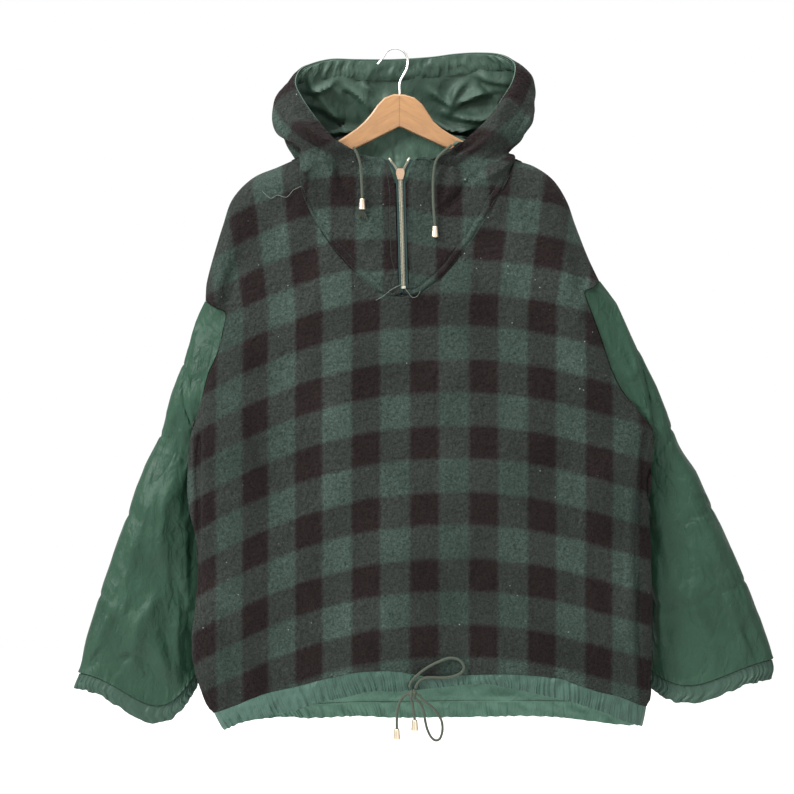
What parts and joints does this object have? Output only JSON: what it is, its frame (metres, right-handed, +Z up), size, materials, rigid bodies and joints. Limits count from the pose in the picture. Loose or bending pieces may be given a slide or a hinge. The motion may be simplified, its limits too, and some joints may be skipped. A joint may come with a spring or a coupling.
{
  "type": "hooded half-zip fleece pullover on a wooden hanger",
  "caption": "Checked fleece half-zip pullover with a hood, quilted nylon sleeves, gathered hem casing and drawcords, hanging on a plain wooden hanger by its wire hook.",
  "frame": {"origin": "inside of the bend of the hanger's hook, where a rail or nail holds it", "axes": "+Z up, +X to the right as seen from the front, +Y from the front of the garment to its back"},
  "size_m": [0.9523, 0.1235, 0.9378],
  "materials": {
    "fleece": "soft pile",
    "nylon": "satin woven",
    "nylon_light": "satin woven",
    "wood": "clear varnish",
    "wire": "bright plated",
    "brass": "coppery",
    "silver": "satin",
    "pale_metal": "pale, satin",
    "cord": "braided",
    "tape": "woven"
  },
  "bodies": {
    "garment": {"front_body": "fleece", "back_body": "fleece", "hood_left": "fleece", "hood_centre": "fleece", "hood_right": "fleece", "hood_lining": "nylon", "hood_rim_casing": "nylon", "left_sleeve": "nylon", "right_sleeve": "nylon", "left_cuff": "nylon_light", "right_cuff": "nylon_light", "front_hem_casing": "nylon_light", "back_hem_casing": "nylon_light", "neck_lining": "nylon", "back_lining": "nylon", "zip_chain": "silver", "zip_tape_left": "tape", "zip_tape_right": "tape", "zip_slider": "brass", "hood_cord_left": "cord", "hood_cord_left_end": "pale_metal", "hood_cord_right": "cord", "hood_cord_right_end": "pale_metal", "hem_cord_tail_left": "cord", "hem_cord_tail_left_end": "pale_metal", "hem_cord_tail_right": "cord", "hem_cord_tail_right_end": "pale_metal", "hem_cord_loop_upper": "cord", "hem_cord_loop_lower": "cord", "hem_cord_knot": "cord", "hanger_wood": "wood", "hanger_hook": "wire"},
    "pull_tab": {"zip_pull_tab": "brass"}
  },
  "joints": [
    {"name": "pull_tab_hinge", "type": "hinge", "parent": "garment", "child": "pull_tab", "pos_m": [0.0106, -0.02139, -0.1682], "axis": [1, 0, 0], "range_deg": [0, 150]}
  ]
}
